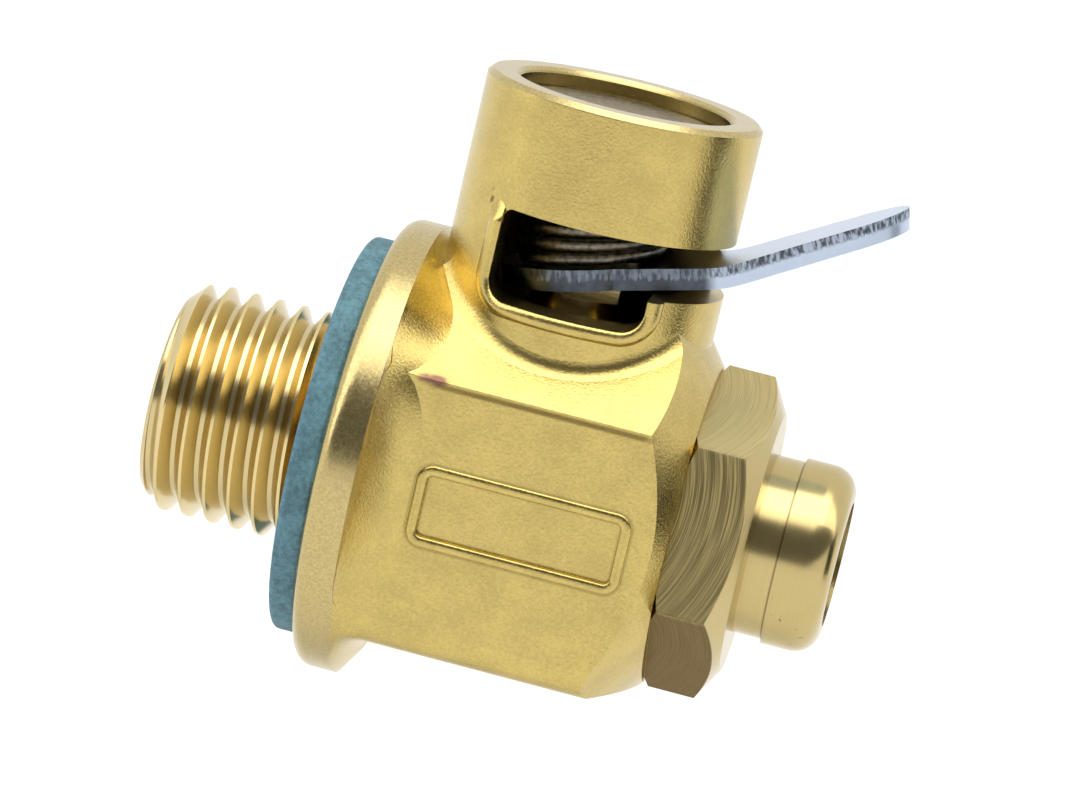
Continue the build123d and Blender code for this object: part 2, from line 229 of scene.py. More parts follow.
def colour(label, words, value):
    """A colour that the user can change."""
    return bpy.props.FloatVectorProperty(
        name=label, description=words, subtype="COLOR", size=3, min=0.0, max=1.0, default=value
    )


class FinishColours(bpy.types.PropertyGroup):
    """Colours of the metals, the gasket and the seals."""

    forged: colour("Forged brass", "Block and tower", (0.585, 0.45, 0.15))
    turned: colour("Turned brass", "Thread, flange rim and nut", (0.56, 0.445, 0.195))
    zinc: colour("Zinc", "Plated lever", (0.47, 0.54, 0.65))
    spring: colour("Spring steel", "Coil spring", (0.15, 0.14, 0.12))
    cap: colour("Cap steel", "Disc in the tower", (0.25, 0.21, 0.13))
    ball: colour("Ball", "Plated ball", (0.75, 0.75, 0.76))
    gasket: colour("Gasket", "Sealing ring", (0.09, 0.20, 0.245))
    seat: colour("Seats", "Rings beside the ball", (0.86, 0.86, 0.83))
    rubber: colour("Rubber", "O-rings", (0.02, 0.02, 0.02))


class StudioSettings(bpy.types.PropertyGroup):
    """Floor and light round the valve."""

    floor_drop: bpy.props.FloatProperty(
        name="Floor drop", description="From the valve down to the floor", default=22.0 * MM, unit="LENGTH"
    )
    floor: colour("Floor", "Colour of the floor", (0.8, 0.8, 0.8))
    lift: bpy.props.FloatProperty(name="Lift", description="Light added to the floor as seen", default=0.05)
    room: bpy.props.FloatProperty(name="Room", description="Light from the white room", default=0.78)
    strip: bpy.props.FloatProperty(name="Strip", description="Light of the strip overhead", default=2.4)
    gap: bpy.props.FloatProperty(name="Gap", description="Light left in the dark gap", default=0.15)


class ValveSettings(bpy.types.PropertyGroup):
    """Everything that the panel shows."""

    beads: bpy.props.PointerProperty(type=BeadSizes)
    dish: bpy.props.PointerProperty(type=DishSizes)
    spring: bpy.props.PointerProperty(type=SpringSizes)
    colours: bpy.props.PointerProperty(type=FinishColours)
    studio: bpy.props.PointerProperty(type=StudioSettings)


class Wire:
    """One output of a shader node. Sums with wires and numbers add the nodes that work them out."""

    def __init__(self, tree, socket=None):
        self.tree = tree
        self.socket = socket

    def node(self, kind, inputs=None, output=0, **settings):
        """Adds a node of any kind, with its settings and inputs, and gives one of its outputs."""
        made = self.tree.nodes.new(kind)
        for name, value in settings.items():
            setattr(made, name, value)
        for key, value in (inputs or {}).items():
            if isinstance(value, Wire):
                self.tree.links.new(value.socket, made.inputs[key])
            else:
                made.inputs[key].default_value = value
        return Wire(self.tree, made.outputs[output] if made.outputs else None)

    def beside(self, output):
        """Another output of the same node."""
        return Wire(self.tree, self.socket.node.outputs[output])

    def maths(self, operation, *values):
        """A Math node on the values given."""
        return self.node("ShaderNodeMath", dict(enumerate(values)), operation=operation)

    def __add__(self, other):
        return self.maths("ADD", self, other)

    def __radd__(self, other):
        return self.maths("ADD", other, self)

    def __sub__(self, other):
        return self.maths("SUBTRACT", self, other)

    def __rsub__(self, other):
        return self.maths("SUBTRACT", other, self)

    def __mul__(self, other):
        return self.maths("MULTIPLY", self, other)

    def __truediv__(self, other):
        return self.maths("DIVIDE", self, other)

    def __neg__(self):
        return self.maths("MULTIPLY", self, -1.0)

    def __abs__(self):
        return self.maths("ABSOLUTE", self)

    def rise(self, low, high):
        """0 below low, 1 above high, and a smooth step between them."""
        return self.node("ShaderNodeMapRange", {0: self, 1: low, 2: high}, interpolation_type="SMOOTHSTEP")

    def inside(self, low, high, soft):
        """1 between low and high, with soft edges."""
        return self.rise(low - soft, low + soft) * (1.0 - self.rise(high - soft, high + soft))


def length(*parts):
    """Length of a vector whose parts are wires."""
    total = parts[0] * parts[0]
    for part in parts[1:]:
        total = total + part * part
    return total.maths("SQRT", total)


def blend(share, first, second):
    """Colour that goes from first to second as share goes from 0 to 1."""
    return share.node("ShaderNodeMix", {0: share, 6: first, 7: second}, output=2, data_type="RGBA")


def shade(rgb, level=1.0):
    """A colour from the panel, made darker or lighter, as a shader takes it."""
    return (rgb[0] * level, rgb[1] * level, rgb[2] * level, 1.0)


def place(start):
    """Place on the piece, in millimetres, as three wires and one vector wire."""
    metres = start.node("ShaderNodeTexCoord", output="Object")
    scaled = start.node("ShaderNodeVectorMath", {0: metres, "Scale": 1.0 / MM}, operation="SCALE")
    x = start.node("ShaderNodeSeparateXYZ", {0: scaled})
    return x, x.beside(1), x.beside(2), scaled


def noise(vector, size, detail=2.0, rough=0.5):
    """Cloudy noise from 0 to 1 with lumps of that size in the vector's units."""
    inputs = {"Vector": vector, "Scale": 1.0 / size, "Detail": detail, "Roughness": rough}
    return vector.node("ShaderNodeTexNoise", inputs)


def vector(x, y, z):
    """Three wires or numbers as one vector."""
    first = next(part for part in (x, y, z) if isinstance(part, Wire))
    return first.node("ShaderNodeCombineXYZ", {0: x, 1: y, 2: z})


def bump(height, distance):
    """Surface normal for a height from 0 to 1 that stands for that distance in millimetres."""
    return height.node("ShaderNodeBump", {"Height": height, "Distance": distance * MM, "Strength": 1.0})


def material(name, metallic):
    """An empty material, the wire to build it with, and a function that joins up its surface."""
    made = bpy.data.materials.new(name)
    made.use_nodes = True
    made.node_tree.nodes.clear()
    start = Wire(made.node_tree)

    def join(base, roughness, normal=None):
        values = {"Base Color": base, "Roughness": roughness, "Metallic": metallic}
        if normal is not None:
            values["Normal"] = normal
        surface = start.node("ShaderNodeBsdfPrincipled", values)
        start.node("ShaderNodeOutputMaterial", {"Surface": surface})
        return made

    return start, join


def panel_edge(x, z):
    """Distance to the outline of the bare panel on the front flat, less than 0 inside it."""
    wide = abs(x - PANEL_MIDDLE[0]) - (PANEL_HALF[0] - PANEL_CORNER)
    tall = abs(z - PANEL_MIDDLE[1]) - (PANEL_HALF[1] - PANEL_CORNER)
    past = length(x.maths("MAXIMUM", wide, 0.0), x.maths("MAXIMUM", tall, 0.0))
    return past + x.maths("MINIMUM", x.maths("MAXIMUM", wide, tall), 0.0) - PANEL_CORNER


def forged_brass(colours):
    """Satin forging with fine grain, turned rims where the lathe has been, and a bright cut thread, with
    painted light and shade on the thread, in the bore, round the panel and along the shoulder.
    """
    start, join = material("forged_brass", 1.0)
    x, y, z, point = place(start)
    from_flow = length(y, z)
    from_tower = length(x - TOWER_X, y)
    grain = noise(point, 0.16, 3.0, 0.6)
    clouds = noise(point, 2.2, 2.0)
    tone = grain * 0.6 + clouds * 0.4
    base = blend(tone.rise(0.34, 0.66), shade(colours.forged, 0.86), shade(colours.forged, 1.1))
    # The lathe has turned the flange's rim and front, the tower's top and its bore
    rim = from_flow.rise(FLANGE_RADIUS - 0.5, FLANGE_RADIUS - 0.3)
    rim = rim * (1.0 - x.rise(FLANGE_BACK, FLANGE_BACK + 0.3))
    front = 1.0 - x.rise(FLANGE_FRONT, FLANGE_FRONT + 0.3)
    top = z.rise(TOWER_TOP - 0.4, TOWER_TOP - 0.3)
    bore = 1.0 - from_tower.rise(CHAMBER_RADIUS + 0.05, CHAMBER_RADIUS + 0.15)
    bore = bore * z.rise(SHOULDER_Z, SHOULDER_Z + 1.0)
    turned = rim.maths("MAXIMUM", rim.maths("MAXIMUM", rim, front), rim.maths("MAXIMUM", top, bore))
    specks = blend(grain.rise(0.35, 0.65), shade(colours.turned, 0.85), shade(colours.turned, 1.05))
    base = blend(turned, base, specks)
    # Painted shade inside the bore, which is darkened
    base = blend(bore * 0.6, base, shade(colours.forged, 0.45))
    # The thread is brighter on its crests than in its roots: a painted highlight on the crests and painted
    # shade in the roots
    thread = 1.0 - x.rise(0.0, 0.1)
    crest = from_flow.rise(THREAD_ROOT, THREAD_CREST)
    cut = blend(crest * 0.7 + grain * 0.3, shade(colours.turned, 1.05), shade(colours.turned, 1.4))
    cut = blend(thread * 0.25, cut, THREAD_GLINT)
    base = blend(thread, base, cut)
    # Painted shade in the corner round the bare panel
    line = 1.0 - abs(panel_edge(x, z) + 0.22).inside(0.0, 0.3, 0.05)
    line = line * (1.0 - abs(panel_edge(x, z) + 0.22).rise(0.36, 0.5))
    line = line * (1.0 - y.rise(0.5 - FRONT_FLAT, 0.6 - FRONT_FLAT))
    base = blend(line * 0.45, base, shade(colours.forged, 0.3))
    # A dark line under the shoulder's edge, painted there as a dark reflection of the rounded edge
    under = z.inside(SHOULDER_Z - 0.45, SHOULDER_Z - 0.15, 0.1) * x.inside(*SHOULDER_LINE, 0.5)
    under = under * (1.0 - y.rise(0.3 - FRONT_FLAT, 0.45 - FRONT_FLAT)) * (0.6 + clouds * 0.5)
    base = blend(under * 0.85, base, SHOULDER_DARK_REFLECTION)
    # A nick low on the tower and a heat stain at the start of the shoulder
    nick = length((x - NICK_PLACE[0]) * 2.0, (z - NICK_PLACE[2]) * 0.6, (y - NICK_PLACE[1]) * 0.5)
    nick = nick + noise(point, 0.4) * 1.1
    base = blend((1.0 - nick.rise(0.55, 0.85)) * 0.75, base, NICK_DIRT)
    stain = length((x - STAIN_X) * 0.5, (z - SHOULDER_Z) * 1.5, (y + FRONT_FLAT) * 0.6)
    stain = stain + noise(point, 0.7) * 0.5
    base = blend((1.0 - stain.rise(0.45, 0.85)) * 0.8, base, HEAT_STAIN)
    roughness = 0.17 + grain * 0.09 + clouds * 0.05 - turned * 0.01 - thread * 0.03
    lathe = noise(vector(x * 8.0, from_flow * 8.0, from_tower * 8.0), 1.0, 1.0)
    height = grain * (1.0 - turned) + lathe * turned * 0.5
    return join(base, roughness, bump(height * (1.0 - thread * 0.8), 0.018))


def nut_brass(colours):
    """Turned bar with lathe lines, and arcs left by the cutter on the six flats."""
    start, join = material("nut_brass", 1.0)
    x, y, z, point = place(start)
    radius = length(y, z)
    turn = math.radians(HEX_TURN)
    sixth = math.pi / 3
    angle = x.maths("ARCTAN2", z, -y) - turn
    flat_number = x.maths("ROUND", angle / sixth)
    off_flat = angle - flat_number * sixth
    along = radius * x.maths("SINE", off_flat)
    out = radius * x.maths("COSINE", off_flat)
    flat = out.inside(HEX_HALF_WIDTH - 0.06, HEX_HALF_WIDTH + 0.06, 0.05)
    flat = flat * x.inside(HEX_START, HEX_END, 0.05)
    sweep = length(x - HEX_START + CUTTER_BEHIND, along - CUTTER_UP)
    arcs = noise(vector(sweep * 11.0, along * 0.15, flat_number * 5.0), 1.0, 2.0, 0.6)
    arcs = 0.5 + (arcs - 0.5) * (0.5 + along.rise(-3.0, 1.0) * 0.5)
    pores = noise(point, 0.5, 1.0).rise(0.68, 0.74) * z.inside(-4.5, -1.0, 1.0)
    pores = pores * x.rise(HEX_END + 1.0, HEX_END + 2.0)
    lathe = noise(vector(x * 9.0, radius * 9.0, 0.0), 1.0, 2.0)
    cloud = noise(point, 0.9, 3.0)
    turned = blend(lathe * 0.6 + cloud * 0.4, shade(colours.turned, 0.88), shade(colours.turned, 1.06))
    milled = blend(arcs.rise(0.36, 0.64), shade(colours.turned, 0.42), shade(colours.turned, 1.05))
    # Painted light and shade: the flats that look up are painted lighter, and those that look down are
    # painted darker
    milled = blend(z.rise(6.1, 6.5) * 0.6, milled, shade(colours.turned, 1.3))
    down_flats_shade = 1.0 - z.rise(-3.6, -3.2)
    milled = blend(down_flats_shade * 0.85, milled, DOWN_FLATS_SHADE_COLOUR)
    base = blend(flat, turned, milled)
    # Painted shade: a dark line in the outlet's step, laid on together with the real dirt in the pores
    step = x.inside(OUTLET_STEP - 0.1, OUTLET_STEP + 0.02, 0.04)
    pore_dirt_and_step_shade = pores.maths("MAXIMUM", pores, step)
    base = blend(pore_dirt_and_step_shade * 0.7, base, PORE_DIRT_AND_STEP_SHADE_COLOUR)
    roughness = 0.17 + cloud * 0.06 + flat * (0.16 + arcs * 0.14)
    height = lathe * (1.0 - flat) * 0.2 + arcs * flat
    return join(base, roughness, bump(height, 0.03))


def plated_steel(colours):
    """Zinc plated sheet: smooth faces, edges that are part sheared and part torn, and a painted shadow over
    the head inside the tower.
    """
    start, join = material("plated_steel", 1.0)
    _, y, _, point = place(start)
    depth = start.node("ShaderNodeAttribute", output="Fac", attribute_name="sheet_depth")
    edge = start.node("ShaderNodeAttribute", output="Fac", attribute_name="cut_edge")
    way = start.node("ShaderNodeAttribute", output="Fac", attribute_name="way_along")
    streaks = noise(vector(way, y * 2.0, depth * 0.4), 0.22, 2.0)
    clouds = noise(point, 0.8, 3.0)
    arm = way.rise(7.5, 8.5)
    torn = (depth + (streaks - 0.5) * 0.5).rise(0.45, 0.62) * edge * (0.35 + arm * 0.65)
    # Painted shadow and light: the head inside the tower is painted nearly black and the arm outside it
    # bright
    level = 0.06 + clouds * 0.15 + arm * 0.78
    base = blend(level, BLACK, shade(colours.zinc, 1.35))
    rough_zone = blend(streaks.rise(0.35, 0.65), shade(colours.zinc, 0.2), shade(colours.zinc, 1.1))
    base = blend(torn, base, rough_zone)
    roughness = 0.26 + clouds * 0.08 + torn * 0.2
    return join(base, roughness, bump(clouds * 0.3 + streaks * torn, 0.02))


def spring_steel(colours):
    """Dark oiled wire."""
    start, join = material("spring_steel", 1.0)
    point = place(start)[-1]
    drawn = noise(point, 0.3, 3.0)
    base = blend(drawn.rise(0.3, 0.7), shade(colours.spring, 0.7), shade(colours.spring, 1.7))
    return join(base, 0.3 + drawn * 0.12, bump(drawn, 0.003))


def cap_steel(colours):
    """Dull pressed disc with faint rings."""
    start, join = material("cap_steel", 1.0)
    x, y, _, point = place(start)
    rings = noise(vector(length(x - TOWER_X, y) * 5.0, 0.0, 0.0), 1.0, 2.0)
    specks = noise(point, 0.25, 3.0)
    tone = rings * 0.4 + specks * 0.6
    base = blend(tone.rise(0.35, 0.65), shade(colours.cap, 0.55), shade(colours.cap, 1.4))
    return join(base, 0.36 + specks * 0.2, bump(specks, 0.006))


def ball_metal(colours):
    """Polished plated ball."""
    start, join = material("ball_metal", 1.0)
    point = place(start)[-1]
    haze = noise(point, 1.5, 2.0)
    base = blend(haze, shade(colours.ball, 0.92), shade(colours.ball, 1.05))
    return join(base, 0.07 + haze * 0.06)


def gasket_fibre(colours):
    """Pressed fibre sheet, matte and mottled."""
    start, join = material("gasket_fibre", 0.0)
    point = place(start)[-1]
    fibres = noise(point, 0.35, 4.0, 0.7)
    clouds = noise(point, 1.6, 2.0)
    tone = fibres * 0.65 + clouds * 0.35
    base = blend(tone.rise(0.32, 0.68), shade(colours.gasket, 0.62), shade(colours.gasket, 1.5))
    return join(base, 0.6 + fibres * 0.2, bump(fibres, 0.03))


def seat_plastic(colours):
    """White slippery plastic."""
    start, join = material("seat_ptfe", 0.0)
    point = place(start)[-1]
    clouds = noise(point, 1.2, 2.0)
    base = blend(clouds, shade(colours.seat, 0.93), shade(colours.seat, 1.0))
    return join(base, 0.36 + clouds * 0.08)


def seal_rubber(colours):
    """Black moulded rubber."""
    start, join = material("seal_rubber", 0.0)
    point = place(start)[-1]
    dust = noise(point, 0.4, 3.0)
    base = blend(dust, shade(colours.rubber, 0.8), shade(colours.rubber, 1.6))
    return join(base, 0.45 + dust * 0.12)


def tube_mesh(name, rings, closed=False):
    """Mesh of a tube, one ring of points to a row: it runs into itself if closed, or has flat ends."""
    rows, columns = rings.shape[:2]
    number = np.arange(rows * columns).reshape(rows, columns)
    here = number if closed else number[:-1]
    ahead = np.roll(number, -1, axis=0) if closed else number[1:]
    quads = np.stack([here, np.roll(here, -1, axis=1), np.roll(ahead, -1, axis=1), ahead], axis=-1)
    ends = [] if closed else [number[0, ::-1].tolist(), number[-1].tolist()]
    mesh = bpy.data.meshes.new(name)
    mesh.from_pydata((rings * MM).reshape(-1, 3).tolist(), [], quads.reshape(-1, 4).tolist() + ends)
    mesh.polygons.foreach_set("use_smooth", np.ones(len(mesh.polygons), bool))
    mesh.set_sharp_from_angle(angle=math.radians(SHARP_ANGLE))
    return mesh


def rounded_path(points, corner, closed):
    """Even points along lines between the points given, with round corners, and the normals to the left."""
    points = np.asarray(points, float)
    before = np.roll(points, 1, axis=0)
    after = np.roll(points, -1, axis=0)
    back = (before - points) / np.linalg.norm(before - points, axis=1, keepdims=True)
    on = (after - points) / np.linalg.norm(after - points, axis=1, keepdims=True)
    share = np.linspace(0.0, np.pi / 2, CORNER_POINTS)[None, :, None]
    middle = points + (back + on) * corner
    bends = middle[:, None] - on[:, None] * corner * np.cos(share) - back[:, None] * corner * np.sin(share)
    if closed:
        bends = bends.reshape(-1, 2)
        bends = np.concatenate([bends, bends[:1]])
    else:
        bends = np.concatenate([points[:1], bends[1:-1].reshape(-1, 2), points[-1:]])
    gone = np.concatenate([[0.0], np.cumsum(np.linalg.norm(np.diff(bends, axis=0), axis=1))])
    even = np.linspace(0.0, gone[-1], round(gone[-1] / PATH_STEP) + 1)
    path = np.stack([np.interp(even, gone, bends[:, i]) for i in (0, 1)], axis=-1)
    if closed:
        path = path[:-1]
        ahead = np.roll(path, -1, axis=0) - np.roll(path, 1, axis=0)
    else:
        ahead = np.gradient(path, axis=0)
    ahead /= np.linalg.norm(ahead, axis=1, keepdims=True)
    return path, np.stack([-ahead[:, 1], ahead[:, 0]], axis=-1)


def show(mesh, body, finish):
    """Puts a new piece in the scene, on its body and with its finish."""
    piece = bpy.data.objects.new(mesh.name, mesh)
    bpy.context.scene.collection.objects.link(piece)
    mesh.materials.clear()
    mesh.materials.append(finish)
    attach(piece, body)
    return piece


def paint(node, finish):
    """Gives a solid of the part its finish."""
    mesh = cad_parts[node].data
    mesh.materials.clear()
    mesh.materials.append(finish)


def corners(mesh):
    """The mesh's vertices as an array, in millimetres."""
    flat = np.empty(len(mesh.vertices) * 3)
    mesh.vertices.foreach_get("co", flat)
    return flat.reshape(-1, 3) / MM


class VALVE_OT_forged_body(bpy.types.Operator):
    """Finishes the forging, and rounds the lip of its notch and the border of its panel with two beads.

    Each bead has two parameters, the way along a path with round corners and the angle round an oval. The
    lip's path goes down, along and up round the notch, its oval stands out from the tower's axis, and its
    upper end sinks into the tower in a smooth step. The border's path runs round the panel into itself, and
    its oval stands out from the flat.
    """

    bl_idname = "valve.forged_body"
    bl_label = "Forged body"

    def execute(self, context):
        settings = context.scene.drain_valve
        finish = forged_brass(settings.colours)
        paint("valve_body", finish)
        around = np.linspace(0.0, 2 * np.pi, BEAD_SIDES, endpoint=False)
        across = np.cos(around)
        out = np.sin(around)
        # Lip round the notch
        side = NOTCH_HALF_WIDTH + LIP_WIDTH / 2
        low = NOTCH_FLOOR - LIP_WIDTH / 2
        end = NOTCH_TOP - LIP_WIDTH + LIP_FADE
        turns = [(side, NOTCH_LEDGE - LIP_CLEAR), (side, low), (-side, low), (-side, end)]
        path, normal = rounded_path(turns, NOTCH_CORNER + LIP_WIDTH / 2, closed=False)
        left = np.clip(np.linalg.norm(path - path[-1], axis=1) / LIP_FADE, 0.0, 1.0)
        sunk = LIP_SINK * (1.0 - left**2 * (3.0 - 2.0 * left))
        height = np.where(out > 0, settings.beads.lip / MM, LIP_ROOT) * out
        flat = path[:, None] + normal[:, None] * (across * LIP_WIDTH / 2)[None, :, None]
        radius = TOWER_RADIUS + LIP_HEIGHT - sunk[:, None] + height
        depth = np.sqrt(radius**2 - flat[:, :, 0] ** 2)
        rings = np.stack([TOWER_X + flat[:, :, 0], -depth, flat[:, :, 1]], axis=-1)
        show(tube_mesh("notch_bead", rings), "valve", finish)
        # Border of the panel
        half = settings.beads.border / MM
        inset = half * BORDER_INSET
        wide = PANEL_HALF[0] - inset
        tall = PANEL_HALF[1] - inset
        turns = [(wide, -tall), (-wide, -tall), (-wide, tall), (wide, tall)]
        path, normal = rounded_path(turns, PANEL_CORNER - inset, closed=True)
        flat = path[:, None] + normal[:, None] * (across * half)[None, :, None]
        height = np.where(out > 0, BORDER_HEIGHT, BORDER_ROOT) * out
        rings = np.stack(
            [
                PANEL_MIDDLE[0] + flat[:, :, 0],
                -FRONT_FLAT - np.broadcast_to(height, flat.shape[:2]),
                PANEL_MIDDLE[1] + flat[:, :, 1],
            ],
            axis=-1,
        )
        show(tube_mesh("panel_bead", rings, closed=True), "valve", finish)
        return {"FINISHED"}


class VALVE_OT_dish(bpy.types.Operator):
    """Fills the corner between the flange and the block with one smooth dish.

    The surface has two parameters, the angle round the flow and the way from the rim to the block. The
    radius falls from the rim to the block's outline as a power of the way left, so it runs into the flats
    without an edge. The outline is the soft least of the distances to the six sides. The shell then returns
    inside the block.
    """

    bl_idname = "valve.dish"
    bl_label = "Dish behind the flange"

    def execute(self, context):
        sizes = context.scene.drain_valve.dish
        if sizes.reach <= 0:
            self.report({"ERROR"}, "The dish needs some reach")
            return {"CANCELLED"}
        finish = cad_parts["valve_body"].data.materials[0]
        angle = -np.linspace(0.0, 2 * np.pi, DISH_SIDES, endpoint=False)
        way = np.stack([np.cos(angle), np.sin(angle)])
        across = math.sin(math.radians(ROOF_ANGLE))
        up = math.cos(math.radians(ROOF_ANGLE))
        roof = FRONT_FLAT * across + SHOULDER_Z * up
        sides = np.array(
            [
                (1.0, 0.0, FRONT_FLAT),
                (-1.0, 0.0, FRONT_FLAT),
                (across, up, roof),
                (-across, up, roof),
                (0.0, 1.0, BLOCK_TOP),
                (0.0, -1.0, BLOCK_BOTTOM),
            ]
        )
        nearness = np.clip(sides[:, :2] @ way / sides[:, 2:], 0.0, None)
        outline = np.sum(nearness**DISH_CORNER, axis=0) ** (-1 / DISH_CORNER) * DISH_TUCK
        share = np.linspace(0.0, 1.0, DISH_ROWS)
        start = FLANGE_BACK
        end = start + sizes.reach / MM
        rim = FLANGE_RADIUS - sizes.edge / MM
        radius = outline[:, None] + (rim - outline)[:, None] * (1.0 - share) ** DISH_CURVE
        inner = np.repeat(outline[:, None] - DISH_WALL, 2, axis=1)
        radius = np.concatenate([radius, inner], axis=1)
        x = np.concatenate([start + (end - start) * share, [end, start]])
        turned = radius[:, :, None] * way.T[:, None, :]
        rings = np.concatenate([np.broadcast_to(x[None, :, None], radius.shape + (1,)), turned], axis=-1)
        show(tube_mesh("flange_dish", rings, closed=True), "valve", finish)
        return {"FINISHED"}


class VALVE_OT_nut(bpy.types.Operator):
    """Finishes the outlet nut and the stem."""

    bl_idname = "valve.nut"
    bl_label = "Outlet nut and stem"

    def execute(self, context):
        finish = nut_brass(context.scene.drain_valve.colours)
        paint("outlet_nut", finish)
        paint("stem", finish)
        return {"FINISHED"}


class VALVE_OT_lever(bpy.types.Operator):
    """Shows the lever with the place in the sheet marked on it, so that its cut edges can be told apart."""

    bl_idname = "valve.lever"
    bl_label = "Lever"

    def execute(self, context):
        settings = context.scene.drain_valve
        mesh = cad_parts["lever"].data.copy()
        mesh.name = "lever_blade"
        points = corners(mesh)
        lean = math.radians(LEVER_TILT)
        bend = math.radians(BEND_ANGLE)
        along = (points[:, 0] - TOWER_X) * math.cos(lean) + (points[:, 2] - LEVER_BOTTOM) * math.sin(lean)
        up = (points[:, 2] - LEVER_BOTTOM) * math.cos(lean) - (points[:, 0] - TOWER_X) * math.sin(lean)
        swing = np.clip(np.arctan2(along - BEND_START, BEND_RADIUS - up), 0.0, bend)
        past = along - BEND_START
        reach = past * np.cos(swing) + (up - BEND_RADIUS) * np.sin(swing)
        drop = (up - BEND_RADIUS) * np.cos(swing) - past * np.sin(swing) + BEND_RADIUS
        depth = np.clip(drop / SHEET, 0.0, 1.0)
        way = np.where(along < BEND_START, along, BEND_START + swing * BEND_RADIUS + reach)
        normal = np.empty(len(mesh.polygons) * 3)
        mesh.polygons.foreach_get("normal", normal)
        normal = normal.reshape(-1, 3)
        sheet_up = np.array([[-math.sin(a), 0.0, math.cos(a)] for a in (lean, lean + bend)])
        facing = np.abs(normal @ sheet_up.T).max(axis=1)
        for name, domain, values in (
            ("sheet_depth", "POINT", depth),
            ("way_along", "POINT", way),
            ("cut_edge", "FACE", facing < EDGE_FACING),
        ):
            layer = mesh.attributes.new(name, "FLOAT", domain)
            layer.data.foreach_set("value", values.astype(np.float32))
        piece = show(mesh, "handle", plated_steel(settings.colours))
        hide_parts("lever")
        return {"FINISHED"}


class VALVE_OT_spring(bpy.types.Operator):
    """Winds the coil spring.

    The wire's middle goes round the stem as a helix that climbs faster near the top. Its height leans with
    the lever at the bottom and is level under the cap. A circle of the wire's radius is swept along it,
    square to the path, and the two ends are cut flat.
    """

    bl_idname = "valve.spring"
    bl_label = "Spring"

    def execute(self, context):
        settings = context.scene.drain_valve
        sizes = settings.spring
        wire = sizes.wire / MM
        coil = sizes.mean_diameter / 2 / MM
        lean = math.tan(math.radians(LEVER_TILT))
        cosine = math.cos(math.radians(LEVER_TILT))
        share = np.linspace(0.0, 1.0, round(sizes.turns * TURN_STEPS) + 1)
        climb = SPRING_EVEN * share + (1.0 - SPRING_EVEN) * share**3
        turn = 2 * np.pi * sizes.turns * share + math.radians(SPRING_START)
        across = coil * np.cos(turn)
        low = LEVER_BOTTOM + (SHEET + wire / 2) / cosine + across * lean + SPRING_GAP
        high = CAP_BOTTOM - wire / 2 - SPRING_GAP
        path = np.stack([TOWER_X + across, coil * np.sin(turn), low + (high - low) * climb], axis=-1)
        ahead = np.gradient(path, axis=0)
        ahead /= np.linalg.norm(ahead, axis=1, keepdims=True)
        outward = np.stack([np.cos(turn), np.sin(turn), np.zeros_like(turn)], axis=-1)
        outward -= ahead * np.sum(outward * ahead, axis=1, keepdims=True)
        outward /= np.linalg.norm(outward, axis=1, keepdims=True)
        upward = np.cross(ahead, outward)
        around = np.linspace(0.0, 2 * np.pi, WIRE_SIDES, endpoint=False)[None, :, None]
        ring = outward[:, None] * np.cos(around) + upward[:, None] * np.sin(around)
        mesh = tube_mesh("coil_spring", path[:, None] + ring * wire / 2)
        piece = show(mesh, "rotor", spring_steel(settings.colours))
        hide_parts("spring")
        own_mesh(piece)
        return {"FINISHED"}


class VALVE_OT_small_parts(bpy.types.Operator):
    """Finishes the cap, the ball, the gasket, the seats and the seals."""

    bl_idname = "valve.small_parts"
    bl_label = "Cap, ball and seals"

    def execute(self, context):
        colours = context.scene.drain_valve.colours
        groups = (
            (cap_steel, ("spring_cap",)),
            (ball_metal, ("ball",)),
            (gasket_fibre, ("gasket",)),
            (seat_plastic, ("inlet_seat", "outlet_seat", "stem_thrust_washer")),
            (seal_rubber, ("stem_o_ring_lower", "stem_o_ring_upper", "nut_o_ring")),
        )
        for finish, nodes in groups:
            made = finish(colours)
            for node in nodes:
                paint(node, made)
        return {"FINISHED"}


def view_axes():
    """Directions from the valve to the camera, to the picture's right and to its top."""
    turn, height, roll = (math.radians(a) for a in (VIEW_TURN, VIEW_HEIGHT, VIEW_ROLL))
    back = Vector((math.sin(turn) * math.cos(height), -math.cos(turn) * math.cos(height), math.sin(height)))
    level = Vector((math.cos(turn), math.sin(turn), 0.0))
    upright = back.cross(level)
    right = level * math.cos(roll) + upright * math.sin(roll)
    top = upright * math.cos(roll) - level * math.sin(roll)
    return back, right, top


def looked_at(start):
    """1 where the camera looks, and 1 where the metal mirrors or glass lets through."""
    seen = start.node("ShaderNodeLightPath", output="Is Camera Ray")
    mirrored = seen.maths("MAXIMUM", seen.beside("Is Glossy Ray"), seen.beside("Is Transmission Ray"))
    return seen, mirrored


def studio_world(studio):
    """White room with a bright strip over the camera and a dark gap where the camera stands."""
    world = bpy.data.worlds.new("studio")
    world.use_nodes = True
    world.node_tree.nodes.clear()
    start = Wire(world.node_tree)
    back, _, top = view_axes()
    way = start.node("ShaderNodeTexCoord", output="Generated")

    def along(axis):
        return start.node("ShaderNodeVectorMath", {0: way, 1: axis}, output="Value", operation="DOT_PRODUCT")

    toward = along(back)
    over = along(top)
    rise = start.maths("ARCTAN2", over, toward) * math.degrees(1.0)
    strip = rise.inside(*STRIP_ANGLES, ANGLE_SOFT)
    gap = rise.inside(*GAP_ANGLES, ANGLE_SOFT)
    seen, mirrored = looked_at(start)
    room = studio.room + mirrored * (1.0 - studio.room)
    light = room + strip * (studio.strip - room) - gap * (room - studio.gap)
    strength = light + seen * (1.0 - light)
    surface = start.node("ShaderNodeBackground", {"Color": WHITE, "Strength": strength})
    start.node("ShaderNodeOutputWorld", {"Surface": surface})
    return world


